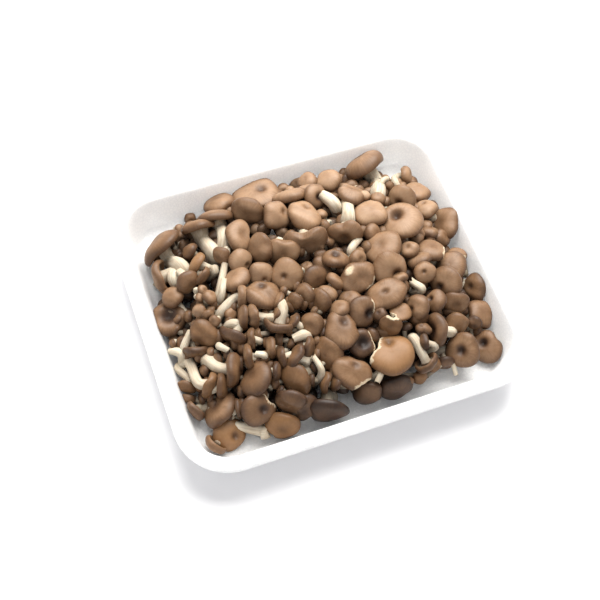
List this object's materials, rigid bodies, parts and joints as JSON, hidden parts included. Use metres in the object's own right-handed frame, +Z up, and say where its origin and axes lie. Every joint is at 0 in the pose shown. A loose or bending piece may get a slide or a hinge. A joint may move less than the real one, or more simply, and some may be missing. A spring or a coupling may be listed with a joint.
{
  "type": "beech mushrooms in a tray",
  "caption": "Heap of small fresh tan-capped mushrooms with pale stems in a shallow white foam tray with rounded corners and a turned-out lip.",
  "frame": {"origin": "middle of the underside of the tray's base", "axes": "+X along the tray's longer side, +Y along its shorter side towards the high back of the heap, +Z up out of the tray"},
  "size_m": [0.25, 0.215, 0.0538],
  "materials": {
    "foam": "closed-cell white polystyrene foam, satin skin",
    "mushroom": "fresh mushroom flesh: satin tan to brown caps, cream stems and gills"
  },
  "bodies": {
    "root": {"tray": "foam", "back_clump_1": "mushroom", "back_clump_2": "mushroom", "back_clump_3": "mushroom", "back_clump_4": "mushroom", "back_clump_5": "mushroom", "back_clump_6": "mushroom", "back_clump_7": "mushroom", "back_clump_8": "mushroom", "right_clump_1": "mushroom", "right_clump_2": "mushroom", "right_clump_3": "mushroom", "right_clump_4": "mushroom", "right_clump_5": "mushroom", "right_clump_6": "mushroom", "right_clump_7": "mushroom", "right_clump_8": "mushroom", "right_clump_9": "mushroom", "right_clump_10": "mushroom", "right_clump_11": "mushroom", "middle_clump_1": "mushroom", "middle_clump_2": "mushroom", "middle_clump_3": "mushroom", "middle_clump_4": "mushroom", "middle_clump_5": "mushroom", "middle_clump_6": "mushroom", "middle_clump_7": "mushroom", "middle_clump_8": "mushroom", "middle_clump_9": "mushroom", "middle_clump_10": "mushroom", "middle_clump_11": "mushroom", "middle_clump_12": "mushroom", "middle_clump_13": "mushroom", "middle_clump_14": "mushroom", "middle_clump_15": "mushroom", "middle_clump_16": "mushroom", "left_clump_1": "mushroom", "left_clump_2": "mushroom", "left_clump_3": "mushroom", "left_clump_4": "mushroom", "left_clump_5": "mushroom", "left_clump_6": "mushroom", "left_clump_7": "mushroom", "left_clump_8": "mushroom", "left_clump_9": "mushroom", "left_clump_10": "mushroom", "front_clump_1": "mushroom", "front_clump_2": "mushroom", "front_clump_3": "mushroom", "front_clump_4": "mushroom", "front_clump_5": "mushroom", "front_clump_6": "mushroom", "front_clump_7": "mushroom", "front_clump_8": "mushroom", "front_clump_9": "mushroom", "front_clump_10": "mushroom", "front_clump_11": "mushroom", "front_clump_12": "mushroom"}
  },
  "joints": []
}
